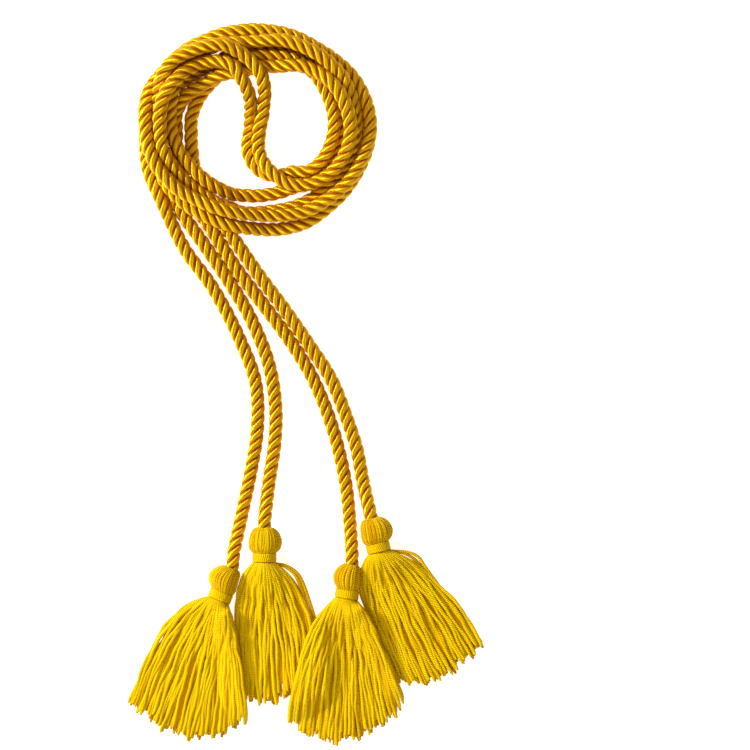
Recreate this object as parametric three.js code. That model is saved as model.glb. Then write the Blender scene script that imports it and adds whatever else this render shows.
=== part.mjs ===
// Double honor cord: two twisted ropes wound together into one loose coil, a tassel on each rope end.
// Millimetres, +Z up. The cord lies on the plane z = 0, under the middle of its own outline.

import * as THREE from 'three';

// Rope
const ropeDiameter = 8.1; // over the plies
const ropeSolidDiameter = 7.2; // across the corners of the plain tube that stands for the rope
const ropeSolidSides = 8;
const ropeSolidStep = 10; // length of one straight piece of the tube
const ropeNesting = 7.7; // distance at which two turns rest on each other, plies pressed a little together
const ropeBend = 25; // tightest bend of a turn that climbs over another
const stationStep = 4; // spacing of the points at which the turns are laid on each other
const ownReach = 2.5 * ropeDiameter; // stretch along one rope that can't lie on itself
const restRounds = 12; // passes that let the turns rest on each other
const heightSmoothing = 3; // passes that even out their heights
const pushRounds = 60; // passes that push apart what still presses together
const pushShare = 0.25; // of the overlap, in each pass and for each of the two turns
const pushReach = 1.5 * ropeNesting;
const curveFineness = 12; // divisions of a span when a rope's length is measured

// Tassel
const headDiameter = 18.4;
const headLength = 14.5; // from the rope to the binding
const ropeLeadIn = 2; // straight rope before the head
const socketDepth = 5; // how far the rope reaches into the head
const socketClearance = 0.5; // round the rope and at its end
const straightFromHead = 9; // how far the rope keeps the head's height before it comes down
const neckDiameter = 12;
const bindingLength = 6;
const bindingThickness = 0.9;
const bindingClearance = 0.3;
const skirtLength = 84; // of the yarns from the binding
const hemHeight = 6.6; // of the yarns at their cut ends
const pressedFlat = 1; // how much of the skirt's round underside is flattened by its weight
const sinkEnd = 0.3; // share of the skirt's length over which it comes down to the table
const lockDepth = 0.12; // hollow between two locks, as a share of the section
const hemStart = 0.9; // share of the skirt's length from which the locks end at their own lengths
const hemMiddle = 0.93; // share of its length at which the hem's end face has its middle
const tasselGap = 1; // between a tassel and the one it lies on
const slopeOfLap = 0.6; // how fast a skirt comes down again beside the tassel it lies on
const lapReach = 2; // how far beside a point the skirt still lies at its height
const lapStart = 0.02; // share of the skirt's length at which it starts to climb
const lapFull = 0.15; // and at which it has climbed
const lapFineness = 6; // points between two sections of the skirt below

// Places
const coilCentre = { x: -29.4, y: 149.7 };
const locksRound = 8; // locks round a skirt
const pointsOnLock = 4;
const bindingSegments = 20;

const gold = { color: 0xc98a12, roughness: 0.45, metalness: 0.0 };
const yellow = { color: 0xf0c80f, roughness: 0.7, metalness: 0.0 };
const bindingYellow = { color: 0xe6bd10, roughness: 0.6, metalness: 0.0 };

// Routes. A turn has rows of clock angle in degrees (0 at the top, clockwise), radius from the coil's
// centre and layer. A layer lies on every lower layer that it crosses. A stretch has rows of x, y and layer.
const turnsA = [
  [250, 68.9, 0], [260, 67.4, 0], [270, 66.3, 0], [290, 65.3, 0], [300, 64.9, 0], [310, 64.3, 1],
  [320, 63.4, 1], [330, 61.5, 1], [340, 60.6, 1], [350, 59.7, 1], [360, 59.4, 1], [380, 59.7, 1],
  [400, 60.6, 1], [410, 62.4, 1], [420, 64.7, 1], [430, 66.2, 1], [440, 67.2, 1], [450, 67.3, 2],
  [460, 65.6, 2], [470, 63.9, 2], [480, 62.1, 2], [490, 59.7, 2], [500, 57.6, 2], [510, 56.1, 2],
  [520, 53.5, 2], [530, 51.7, 2], [540, 50.5, 2], [550, 50.5, 2], [560, 51.1, 2], [570, 52.6, 2],
  [580, 54.6, 2], [590, 57.6, 2], [600, 60.3, 2], [610, 63, 2], [620, 64.7, 2], [625, 65, 2],
  [630, 65.3, 1.5], [640, 66.2, 1.5], [650, 66.5, 1.5], [660, 64.7, 1.5], [670, 61.8, 1.5],
  [680, 59.1, 1.5], [690, 57, 1.5], [700, 54.6, 1.5], [710, 52.6, 2], [720, 52.3, 2], [730, 53.8, 2],
  [740, 55.4, 2], [760, 57.6, 2], [770, 58.5, 2], [780, 59.4, 2], [800, 59.6, 2], [810, 59.4, 1],
  [820, 58.8, 1], [830, 57.6, 1], [840, 55.2, 1], [850, 53.2, 1], [860, 52.3, 0], [870, 51.1, 0],
  [880, 49.9, 0], [910, 49.9, 0], [920, 48.9, 0], [930, 49.5, 0], [940, 50.4, 0], [950, 51.4, 0],
  [960, 53, 0], [970, 55.2, 2], [980, 57, 2], [990, 57.3, 2], [1000, 58.2, 2], [1010, 58.5, 3],
  [1020, 57, 3], [1030, 54.6, 3], [1040, 51.1, 3], [1050, 46.3, 3], [1055, 43.4, 3], [1060, 39.2, 3],
];
const middleA = [
  [-37.7, 178.8, 3], [-35, 173.4, 1], [-33.1, 166.9, 0], [-33.1, 159.8, 0], [-33.6, 152.4, 0],
  [-34.7, 144.9, 0], [-35.3, 139.6, 0], [-34.2, 134.5, 0], [-32.1, 130.1, 0], [-28.2, 125.9, 0],
  [-22.9, 123.3, 0], [-15.7, 122.7, 0], [-8.6, 124.7, 0],
];
const returnA = [
  [130, 38.6, 1], [120, 41.6, 1], [110, 43.4, 1], [100, 44.6, 1], [90, 45.7, 1], [80, 46.3, 1],
  [70, 46.6, 1], [60, 46.9, 1], [50, 47.5, 1], [40, 47.8, 1], [30, 47.5, 1], [20, 46.3, 1],
  [10, 44.6, 1], [0, 44, 1], [-10, 42.8, 1], [-20, 41.6, 0], [-30, 40.4, 0], [-40, 39.5, 0],
  [-60, 39.5, 0], [-80, 39.8, 0], [-90, 39.2, 0], [-100, 39.8, 0], [-110, 41, 0], [-120, 43.4, -1],
];
const tail1 = [
  [-43.3, -101.9, 0], [-37.1, -71.9, 0], [-32.4, -48.7, 0], [-29.4, -28.3, 0], [-30.3, -1, 0],
  [-40.1, 26.1, 0], [-56.1, 56.4, 0], [-72.8, 79.6, 0], [-86.4, 108.1, 0],
];
const tail4 = [
  [-60.3, 114, -1], [-53.8, 100.4, -1], [-45.1, 87.9, -1], [-28.9, 64.4, 0], [-12.8, 42.8, 0],
  [2.4, 20.8, 0], [14.6, 1.8, 0], [22.9, -18.7, 0], [29.7, -39.2, 0], [33.6, -59.4, 0],
];
const turnsB = [
  [250, 59.4, 0], [260, 57.6, 0], [270, 56.7, 0], [280, 57.3, 0], [290, 56.1, 0], [300, 53.5, 0],
  [310, 50.5, 0], [320, 48.1, 0], [330, 47.2, 0], [340, 47.2, 0], [350, 47.5, 0], [360, 47.8, 0],
  [370, 48.7, 0], [380, 49.9, 0], [390, 51.1, 0], [400, 52, 0], [410, 52.3, 0], [430, 52, 0],
  [450, 51.1, 0], [460, 50.5, 0], [470, 49.3, 0], [480, 47.8, 0], [490, 45.4, 0], [500, 42.2, 0],
  [510, 39.8, 0], [520, 39.2, 0], [540, 38.9, 0], [550, 39.2, 0], [560, 40.7, 1], [570, 41.2, 1],
  [580, 42.1, 1], [590, 43.2, 1], [600, 44.7, 1], [610, 46.9, 1], [620, 49, 1], [630, 51.1, 1],
  [640, 52.6, 1], [650, 54.1, 1], [660, 55.8, 1], [670, 56.4, 0], [680, 56.1, 0], [690, 56.1, 0],
  [700, 56.7, 0], [710, 57.6, 0], [720, 58.5, 0], [740, 59.1, 0], [760, 60.3, 0], [770, 61.5, 0],
  [780, 63.6, 0], [790, 65.6, 0], [800, 66.8, 0], [810, 67.1, 0], [820, 66.2, 0], [830, 64.7, 0],
  [840, 63.6, 0], [850, 62.7, 0], [870, 62.1, 0], [880, 61.2, 0], [890, 60, 0], [900, 58.8, 0],
  [910, 58.5, 0], [920, 58.8, 0], [930, 59.4, 0], [940, 60.6, 0], [950, 61.5, 0], [960, 62.4, 1],
  [970, 61.8, 1], [980, 60.9, 1], [990, 60.6, 1], [1000, 60.6, 1.5], [1010, 62.4, 1.5],
  [1020, 64.7, 1.5], [1025, 64.6, 1.5], [1030, 63.9, 3], [1040, 60.3, 3], [1050, 57, 3],
  [1060, 52.6, 3], [1065, 48.7, 3], [1070, 44.6, 3],
];
const middleB = [
  [-30, 187.1, 3], [-26.6, 182, 3], [-25.1, 176.4, 1], [-24.5, 170.7, 1], [-25.1, 165.1, 1],
  [-25.8, 158, 1], [-27.4, 151.6, 1], [-28.3, 144.9, 1], [-28.5, 139.1, 1], [-27.4, 134.2, 1],
  [-24.8, 129.3, 1], [-21.3, 125.1, 1], [-17.2, 121.7, 1], [-12.8, 118.6, 2], [-6.9, 117.1, 2],
];
const returnB = [
  [140, 43.1, 2], [130, 47.5, 2], [120, 51.1, 2], [110, 53.5, 2], [100, 55.2, 3], [90, 55.8, 3],
  [80, 55.2, 3], [70, 54.1, 3], [60, 52.6, 3], [50, 50.2, 3], [40, 47.5, 2], [30, 44, 2],
  [20, 39.8, 2], [10, 38, 2], [0, 36.8, 2], [-10, 35.6, 2], [-20, 36.2, 2], [-30, 38, 2],
  [-40, 39.8, 2], [-50, 41.9, 2], [-60, 45.4, 2], [-70, 48.1, 0], [-80, 49.3, 0], [-90, 48.1, 0],
  [-98, 48.7, 0], [-106, 49.9, -1],
];
const tail2 = [
  [-22.3, -59.4, 0], [-19, -36.8, 0], [-18.4, -14.6, 0], [-22.3, 10.1, 0], [-33, 37.4, 0],
  [-46.6, 60.6, 0], [-60.3, 80.8, -1], [-76.9, 105.1, -1], [-84.3, 121.8, -1],
];
const tail3 = [
  [-76, 128.9, -1], [-71.6, 115.8, -1], [-64.4, 102.2, -1], [-56.1, 90.3, -1], [-42.5, 68.5, 0],
  [-26.4, 46.9, 0], [-11.2, 26.3, 0], [2.4, 4.5, 0], [11.9, -17.2, 0], [18.7, -39.2, 0],
  [23.5, -62.4, 0], [25.6, -82.6, 0],
];

// Tassels. top is where the rope enters the head, heading the head's own direction in degrees from -Y
// towards +X. wide is the head's width over its height, and bow how far it bulges to the side, as a share
// of headDiameter. The skirt fans out between three lines from the binding: its left edge, middle and
// right edge, each over shoulder and flank to the tip. A point is aside of the head's axis and along it,
// as shares of skirtLength. liesOn names the tassels below it.
const tassels = [
  {
    name: 'tassel_1', rope: 'A', end: 'start', top: [-44.6, -110.7], heading: -22, wide: 1, bow: -0.11,
    liesOn: ['tassel_2'],
    left: [[-0.32, 0.14], [-0.34, 0.5], [-0.32, 0.94]],
    middle: [[0.07, 0.21], [0.11, 0.57], [0.18, 1.0]],
    right: [[0.12, 0.07], [0.28, 0.25], [0.51, 0.73]],
  },
  {
    name: 'tassel_2', rope: 'B', end: 'start', top: [-25, -86.8], heading: 0, wide: 1.08, bow: 0.03,
    liesOn: [],
    left: [[-0.24, 0.1], [-0.21, 0.5], [-0.19, 0.94]],
    middle: [[0.01, 0.22], [0.01, 0.54], [0.04, 1.01]],
    right: [[0.27, 0.12], [0.43, 0.48], [0.43, 0.87]],
  },
  {
    name: 'tassel_3', rope: 'B', end: 'finish', top: [26.7, -108.6], heading: -9, wide: 0.9, bow: -0.08,
    liesOn: ['tassel_2', 'tassel_4'],
    left: [[-0.22, 0.14], [-0.3, 0.49], [-0.27, 0.94]],
    middle: [[0.03, 0.23], [0.09, 0.59], [0.14, 1.02]],
    right: [[0.18, 0.07], [0.34, 0.31], [0.55, 0.71]],
  },
  {
    name: 'tassel_4', rope: 'A', end: 'finish', top: [38.7, -81.3], heading: 13, wide: 1.06, bow: 0.07,
    liesOn: [],
    left: [[-0.27, 0.1], [-0.17, 0.5], [-0.11, 0.92]],
    middle: [[0.06, 0.24], [0.1, 0.59], [0.2, 0.99]],
    right: [[0.32, 0.16], [0.47, 0.46], [0.58, 0.82]],
  },
];

// Section of a skirt at shares of its length: height as a share of the way from the neck's diameter to
// hemHeight, and how squarely the section is filled out.
const skirtSections = [
  { along: 0.0, fall: 0.0, fill: 1.0 },
  { along: 0.05, fall: -0.38, fill: 0.95 },
  { along: 0.13, fall: -0.42, fill: 0.88 },
  { along: 0.25, fall: -0.11, fill: 0.8 },
  { along: 0.4, fall: 0.28, fill: 0.72 },
  { along: 0.57, fall: 0.57, fill: 0.66 },
  { along: 0.75, fall: 0.8, fill: 0.62 },
  { along: 0.9, fall: 0.94, fill: 0.6 },
  { along: 1.0, fall: 1.0, fill: 0.6 },
];
// Length of each lock as a share of the skirt's, right edge first, over the top to the left and back.
const lockLengths = [0.985, 1.0, 0.965, 0.99, 1.0, 0.96, 0.98, 0.955];
const notchLength = 0.05; // of the skirt, between two locks at the hem

// Head profile: distance from the rope as a share of headLength, radius as a share of the head's.
const headProfile = [
  { along: 0.0, radius: 0.57 },
  { along: 0.08, radius: 0.72 },
  { along: 0.22, radius: 0.87 },
  { along: 0.42, radius: 0.97 },
  { along: 0.62, radius: 1.0 },
  { along: 0.82, radius: 0.94 },
  { along: 0.95, radius: 0.8 },
];

const headRadius = headDiameter / 2;
const ropeRadius = ropeDiameter / 2;

function turnPoints(rows) {
  return rows.map(([clock, radius, layer]) => {
    const angle = THREE.MathUtils.degToRad(clock);
    const x = coilCentre.x + radius * Math.sin(angle);
    const y = coilCentre.y + radius * Math.cos(angle);
    return [x, y, layer];
  });
}

function headingOf(tassel) {
  const angle = THREE.MathUtils.degToRad(tassel.heading);
  return new THREE.Vector2(Math.sin(angle), -Math.cos(angle));
}

// The rope runs straight into the head and ends at the bottom of its socket.
function ropeEnd(rope, end) {
  const tassel = tassels.find((one) => one.rope === rope && one.end === end);
  const way = headingOf(tassel);
  const reach = socketDepth - socketClearance;
  const [x, y] = tassel.top;
  const outside = [x - way.x * ropeLeadIn, y - way.y * ropeLeadIn, 0];
  const inside = [x + way.x * reach, y + way.y * reach, 0];
  return end === 'start' ? [inside, outside] : [outside, inside];
}

// Points along a smooth curve through the rows, evenly spaced, each with the layer of its nearest row.
function evenStations(rows) {
  const points = rows.map(([x, y]) => new THREE.Vector3(x, y, 0));
  const curve = new THREE.CatmullRomCurve3(points, false, 'centripetal');
  curve.arcLengthDivisions = rows.length * curveFineness;
  const count = Math.round(curve.getLength() / stationStep);
  const stations = [];
  for (let i = 0; i <= count; i += 1) {
    const share = curve.getUtoTmapping(i / count);
    const row = rows[Math.round(share * (rows.length - 1))];
    const place = curve.getPoint(share);
    stations.push({ x: place.x, y: place.y, z: ropeRadius, layer: row[2], along: i * stationStep });
  }
  return stations;
}

function mayTouch(a, b) {
  return a.rope !== b.rope || Math.abs(a.along - b.along) > ownReach;
}

// Lays the ropes on the table and on each other: a station rests on every lower layer within reach, and
// comes down from there no faster than the rope bends.
function restRopes(ropes) {
  const all = ropes.flat();
  const contacts = [];
  for (const upper of all) {
    for (const lower of all) {
      const apart = Math.hypot(upper.x - lower.x, upper.y - lower.y);
      if (upper.layer > lower.layer && apart < ropeNesting && mayTouch(upper, lower)) {
        contacts.push({ upper, lower, lift: Math.sqrt(ropeNesting ** 2 - apart ** 2) });
      }
    }
  }
  for (const station of all) {
    station.carried = station.z;
  }
  for (const rope of ropes) {
    const length = rope[rope.length - 1].along;
    for (const station of rope) {
      if (Math.min(station.along, length - station.along) < straightFromHead) {
        station.carried = headRadius;
      }
    }
  }
  for (let round = 0; round < restRounds; round += 1) {
    for (const { upper, lower, lift } of contacts) {
      upper.carried = Math.max(upper.carried, lower.z + lift);
    }
    for (const rope of ropes) {
      for (const station of rope) {
        for (const other of rope) {
          const fall = (station.along - other.along) ** 2 / (2 * ropeBend);
          station.z = Math.max(station.z, other.carried - fall);
        }
      }
    }
  }
}

// Smooths a value along each rope, ends kept.
function smoothAlong(ropes, key, rounds) {
  for (const rope of ropes) {
    for (let round = 0; round < rounds; round += 1) {
      const values = rope.map((station) => station[key]);
      for (let i = 1; i < rope.length - 1; i += 1) {
        rope[i][key] = (values[i - 1] + 2 * values[i] + values[i + 1]) / 4;
      }
    }
  }
}

// Pushes apart what still presses together, a little sideways and a little up, spread along the rope.
function pushApart(ropes) {
  const all = ropes.flat();
  const pairs = [];
  for (let i = 0; i < all.length; i += 1) {
    for (let j = i + 1; j < all.length; j += 1) {
      const apart = Math.hypot(all[i].x - all[j].x, all[i].y - all[j].y);
      if (apart < pushReach && mayTouch(all[i], all[j])) {
        pairs.push([all[i], all[j]]);
      }
    }
  }
  for (const station of all) {
    station.home = [station.x, station.y, station.z];
    station.movedX = 0;
    station.movedY = 0;
    station.movedZ = 0;
  }
  for (let round = 0; round < pushRounds; round += 1) {
    for (const [a, b] of pairs) {
      const gapX = a.x - b.x;
      const gapY = a.y - b.y;
      const gapZ = a.z - b.z;
      const apart = Math.hypot(gapX, gapY, gapZ);
      const push = pushShare * Math.max(0, ropeNesting - apart) / apart;
      a.movedX += push * gapX;
      a.movedY += push * gapY;
      a.movedZ += push * gapZ;
      b.movedX -= push * gapX;
      b.movedY -= push * gapY;
      b.movedZ -= push * gapZ;
    }
    smoothAlong(ropes, 'movedX', 1);
    smoothAlong(ropes, 'movedY', 1);
    smoothAlong(ropes, 'movedZ', 1);
    for (const station of all) {
      station.x = station.home[0] + station.movedX;
      station.y = station.home[1] + station.movedY;
      station.z = Math.max(ropeRadius, station.home[2] + station.movedZ);
    }
  }
}

function layRopes() {
  const [startA, startA2] = ropeEnd('A', 'start');
  const [finishA, finishA2] = ropeEnd('A', 'finish');
  const [startB, startB2] = ropeEnd('B', 'start');
  const [finishB, finishB2] = ropeEnd('B', 'finish');
  const rowsA = [
    startA, startA2, ...tail1, ...turnPoints(turnsA), ...middleA, ...turnPoints(returnA), ...tail4,
    finishA, finishA2,
  ];
  const rowsB = [
    startB, startB2, ...tail2, ...turnPoints(turnsB), ...middleB, ...turnPoints(returnB), ...tail3,
    finishB, finishB2,
  ];
  const ropes = [evenStations(rowsA), evenStations(rowsB)];
  ropes.forEach((rope, index) => rope.forEach((station) => { station.rope = index; }));
  restRopes(ropes);
  smoothAlong(ropes, 'z', heightSmoothing);
  pushApart(ropes);
  return ropes;
}

function ropeTube(name, stations) {
  const places = stations.map(({ x, y, z }) => new THREE.Vector3(x, y, z));
  const curve = new THREE.CatmullRomCurve3(places, false, 'centripetal');
  curve.arcLengthDivisions = places.length * curveFineness;
  const section = new THREE.Shape();
  for (let i = 0; i < ropeSolidSides; i += 1) {
    const angle = 2 * Math.PI * (i + 0.5) / ropeSolidSides;
    const x = ropeSolidDiameter / 2 * Math.cos(angle);
    const y = ropeSolidDiameter / 2 * Math.sin(angle);
    if (i === 0) {
      section.moveTo(x, y);
    } else {
      section.lineTo(x, y);
    }
  }
  section.closePath();
  const steps = Math.round(curve.getLength() / ropeSolidStep);
  const geometry = new THREE.ExtrudeGeometry(section, { steps, extrudePath: curve, curveSegments: 1 });
  const mesh = new THREE.Mesh(geometry, new THREE.MeshStandardMaterial(gold));
  mesh.name = name;
  return mesh;
}

function bezier(points, share) {
  const rest = 1 - share;
  const weights = [rest ** 3, 3 * rest ** 2 * share, 3 * rest * share ** 2, share ** 3];
  const place = new THREE.Vector2();
  points.forEach(([x, y], i) => place.add(new THREE.Vector2(x, y).multiplyScalar(weights[i])));
  return place;
}

// Place in plan of a yarn that leaves the binding across of its width, -1 at the left edge to 1 at the
// right, at a share of its length.
function skirtPlace(tassel, across, share) {
  const way = headingOf(tassel);
  const side = new THREE.Vector2(-way.y, way.x);
  const neckShare = neckDiameter / 2 / skirtLength;
  const left = bezier([[-neckShare, 0], ...tassel.left], share);
  const middle = bezier([[0, 0], ...tassel.middle], share);
  const right = bezier([[neckShare, 0], ...tassel.right], share);
  left.multiplyScalar(across * (across - 1) / 2);
  middle.multiplyScalar(1 - across ** 2);
  right.multiplyScalar(across * (across + 1) / 2);
  const spread = left.add(middle).add(right).multiplyScalar(skirtLength);
  const place = new THREE.Vector2(...tassel.top);
  place.addScaledVector(way, headLength + bindingLength + spread.y);
  return place.addScaledVector(side, spread.x);
}

// Highest point of the tassels below at a place in plan, smoothed to a slope beside them.
function lapHeight(below, x, y) {
  let height = 0;
  for (const point of below) {
    const apart = Math.hypot(point.x - x, point.y - y);
    height = Math.max(height, point.z + tasselGap - slopeOfLap * Math.max(0, apart - lapReach));
  }
  return height;
}

function skirtRing(tassel, section, below) {
  const count = locksRound * pointsOnLock;
  const height = THREE.MathUtils.lerp(neckDiameter, hemHeight, section.fall);
  const sink = THREE.MathUtils.smoothstep(section.along, 0, sinkEnd);
  const half = (height + sink * pressedFlat) / 2;
  const centre = THREE.MathUtils.lerp(headRadius, height - half, sink);
  const hem = THREE.MathUtils.smoothstep(section.along, hemStart, 1);
  const lap = THREE.MathUtils.smoothstep(section.along, lapStart, lapFull);
  const ring = [];
  for (let i = 0; i < count; i += 1) {
    const angle = 2 * Math.PI * i / count;
    const ridge = Math.cos(locksRound * angle);
    const lock = 1 + lockDepth * section.along ** 0.5 * (ridge - 1) / 2;
    const across = Math.cos(angle) * lock;
    const up = Math.sign(Math.sin(angle)) * Math.abs(Math.sin(angle)) ** section.fill * lock;
    const nearest = Math.round(i / pointsOnLock) % locksRound;
    const cut = (1 - lockLengths[nearest]) + notchLength * (1 - ridge) / 2;
    const place = skirtPlace(tassel, across, section.along - cut * hem);
    const base = lap * lapHeight(below, place.x, place.y);
    ring.push(new THREE.Vector3(place.x, place.y, base + Math.max(0, centre + half * up)));
  }
  return ring;
}

// A ring of the head or neck about the tassel's own axis, wider than high and aside of it as given.
function roundRing(tassel, along, radius, wide = 1, aside = 0) {
  const way = headingOf(tassel);
  const count = locksRound * pointsOnLock;
  const [topX, topY] = tassel.top;
  const ring = [];
  for (let i = 0; i < count; i += 1) {
    const angle = 2 * Math.PI * i / count;
    const across = aside + radius * wide * Math.cos(angle);
    const x = topX + way.x * along - way.y * across;
    const y = topY + way.y * along + way.x * across;
    ring.push(new THREE.Vector3(x, y, headRadius + radius * Math.sin(angle)));
  }
  return ring;
}

function headRing(tassel, { along, radius }) {
  const aside = tassel.bow * headDiameter * Math.sin(Math.PI * along);
  return roundRing(tassel, along * headLength, radius * headRadius, tassel.wide, aside);
}

// Closes a stack of rings, each with as many points, between two end points.
function closedLoft(first, rings, last) {
  const count = rings[0].length;
  const points = [first, ...rings.flat(), last];
  const position = new Float32Array(points.length * 3);
  points.forEach((point, i) => point.toArray(position, i * 3));
  const index = [];
  const lastPoint = points.length - 1;
  for (let i = 0; i < count; i += 1) {
    const next = (i + 1) % count;
    index.push(0, 1 + next, 1 + i);
    for (let ring = 0; ring < rings.length - 1; ring += 1) {
      const here = 1 + ring * count;
      const there = here + count;
      index.push(here + i, here + next, there + i);
      index.push(here + next, there + next, there + i);
    }
    const rim = 1 + (rings.length - 1) * count;
    index.push(lastPoint, rim + i, rim + next);
  }
  const geometry = new THREE.BufferGeometry();
  geometry.setAttribute('position', new THREE.BufferAttribute(position, 3));
  geometry.setIndex(index);
  geometry.computeVertexNormals();
  return geometry;
}

function tasselBody(tassel, below) {
  const way = headingOf(tassel);
  const [topX, topY] = tassel.top;
  const socketRadius = ropeSolidDiameter / 2 + socketClearance;
  const bottom = new THREE.Vector3(topX + way.x * socketDepth, topY + way.y * socketDepth, headRadius);
  const neckRadius = neckDiameter / 2;
  const rings = [
    roundRing(tassel, socketDepth, socketRadius),
    roundRing(tassel, 0, socketRadius),
    ...headProfile.map((row) => headRing(tassel, row)),
    roundRing(tassel, headLength, neckRadius),
    ...skirtSections.map((section) => skirtRing(tassel, section, below)),
  ];
  const end = skirtPlace(tassel, 0, hemMiddle);
  const hemEnd = new THREE.Vector3(end.x, end.y, lapHeight(below, end.x, end.y) + hemHeight / 2);
  const mesh = new THREE.Mesh(closedLoft(bottom, rings, hemEnd), new THREE.MeshStandardMaterial(yellow));
  mesh.name = tassel.name;
  return mesh;
}

// Upper side of a tassel's skirt, as close points for what lies on it.
function upperPoints(tassel) {
  const rings = skirtSections.map((section) => skirtRing(tassel, section, []));
  const upper = rings.map((ring) => ring.slice(0, ring.length / 2 + 1));
  const points = [];
  for (let i = 0; i < upper.length - 1; i += 1) {
    for (let step = 0; step <= lapFineness; step += 1) {
      const share = step / lapFineness;
      upper[i].forEach((point, place) => points.push(point.clone().lerp(upper[i + 1][place], share)));
    }
  }
  return points;
}

// A band wound round the neck, its edges rounded over.
function bindingBand(tassel, index) {
  const inner = neckDiameter / 2 + bindingClearance;
  const outer = inner + bindingThickness;
  const half = bindingLength / 2 - bindingClearance;
  const edge = bindingThickness / 2;
  const profile = [
    [inner, -half], [outer - edge, -half], [outer, edge - half], [outer, half - edge],
    [outer - edge, half], [inner, half], [inner, -half],
  ].map(([radius, along]) => new THREE.Vector2(radius, along));
  const geometry = new THREE.LatheGeometry(profile, bindingSegments);
  const mesh = new THREE.Mesh(geometry, new THREE.MeshStandardMaterial(bindingYellow));
  const way = headingOf(tassel);
  const reach = headLength + bindingLength / 2;
  mesh.position.set(tassel.top[0] + way.x * reach, tassel.top[1] + way.y * reach, headRadius);
  mesh.rotation.z = THREE.MathUtils.degToRad(tassel.heading);
  mesh.name = `binding_${index + 1}`;
  return mesh;
}

const cord = new THREE.Group();
const [ropeA, ropeB] = layRopes();
cord.add(ropeTube('rope_a', ropeA));
cord.add(ropeTube('rope_b', ropeB));
tassels.forEach((tassel, index) => {
  const below = tassels.filter(({ name }) => tassel.liesOn.includes(name)).flatMap(upperPoints);
  cord.add(tasselBody(tassel, below));
  cord.add(bindingBand(tassel, index));
});

export default cord;
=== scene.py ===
# Double honor cord laid on a pale table: two twisted satin ropes in one loose coil, four yarn tassels.
import math
import random

import bpy
import numpy as np
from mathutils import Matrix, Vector


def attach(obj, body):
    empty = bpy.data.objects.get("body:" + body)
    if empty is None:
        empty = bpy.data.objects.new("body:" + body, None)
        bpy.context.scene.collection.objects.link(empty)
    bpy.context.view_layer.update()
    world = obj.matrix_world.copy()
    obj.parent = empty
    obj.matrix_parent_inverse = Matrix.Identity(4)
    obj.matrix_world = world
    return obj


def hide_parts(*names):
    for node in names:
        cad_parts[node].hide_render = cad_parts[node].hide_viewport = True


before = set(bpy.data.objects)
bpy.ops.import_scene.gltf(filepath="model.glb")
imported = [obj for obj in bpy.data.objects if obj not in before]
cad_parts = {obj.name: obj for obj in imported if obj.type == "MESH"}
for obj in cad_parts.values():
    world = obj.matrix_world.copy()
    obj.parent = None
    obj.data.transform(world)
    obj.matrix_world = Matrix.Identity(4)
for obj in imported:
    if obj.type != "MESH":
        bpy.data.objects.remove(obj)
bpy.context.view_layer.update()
print("frame loaded:", len(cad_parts), "nodes")

mm = 0.001

# Camera: straight above the table, over the middle of the photo's frame
view = {
    "centre": (40.7 * mm, 4.2 * mm),
    "width": 445.5 * mm,  # of the table that the frame shows
    "height": 3.0,
    "sensor": 36.0,
    "sharpAt": 8 * mm,  # height above the table at which the width is exact
    "farthest": 20.0,
}


def placed(name, data):
    # an object with this data, in the scene
    made = bpy.data.objects.new(name, data)
    bpy.context.scene.collection.objects.link(made)
    return made


def makeCamera():
    camera = bpy.data.cameras.new("camera")
    camera.sensor_width = view["sensor"]
    camera.lens = view["sensor"] * (view["height"] - view["sharpAt"]) / view["width"]
    camera.clip_end = view["farthest"]
    seen = placed("camera", camera)
    seen.location = (*view["centre"], view["height"])
    bpy.context.scene.camera = seen


makeCamera()

# Ropes: the route that the cord was laid in. A turn has rows of clock angle in degrees (0 at the top,
# clockwise), radius in mm from the coil's centre and layer, a stretch has rows of x, y in mm and layer.
rope = {
    "diameter": 8.1 * mm,
    "nesting": 7.7 * mm,  # distance at which two turns rest on each other
    "bend": 25 * mm,  # tightest bend of a turn that climbs over another
    "station": 4 * mm,  # between two points of a laid rope
    "coilCentre": (-29.4 * mm, 149.7 * mm),
    "leadIn": 2 * mm,  # straight rope before the head
    "straightFromHead": 9 * mm,  # how far it keeps the head's height
    "spanPoints": 12,  # on the stretch between two rows
    "ownReach": 2.5,  # diameters along one rope that can't lie on itself
    "restRounds": 12,  # passes that let the turns rest on each other
    "heightRounds": 3,  # passes that even out their heights
    "pushRounds": 60,  # passes that push apart what still presses together
    "pushShare": 0.25,  # of the overlap, in each pass and for each of the two turns
    "pushReach": 1.5,  # as a share of nesting
}
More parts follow.
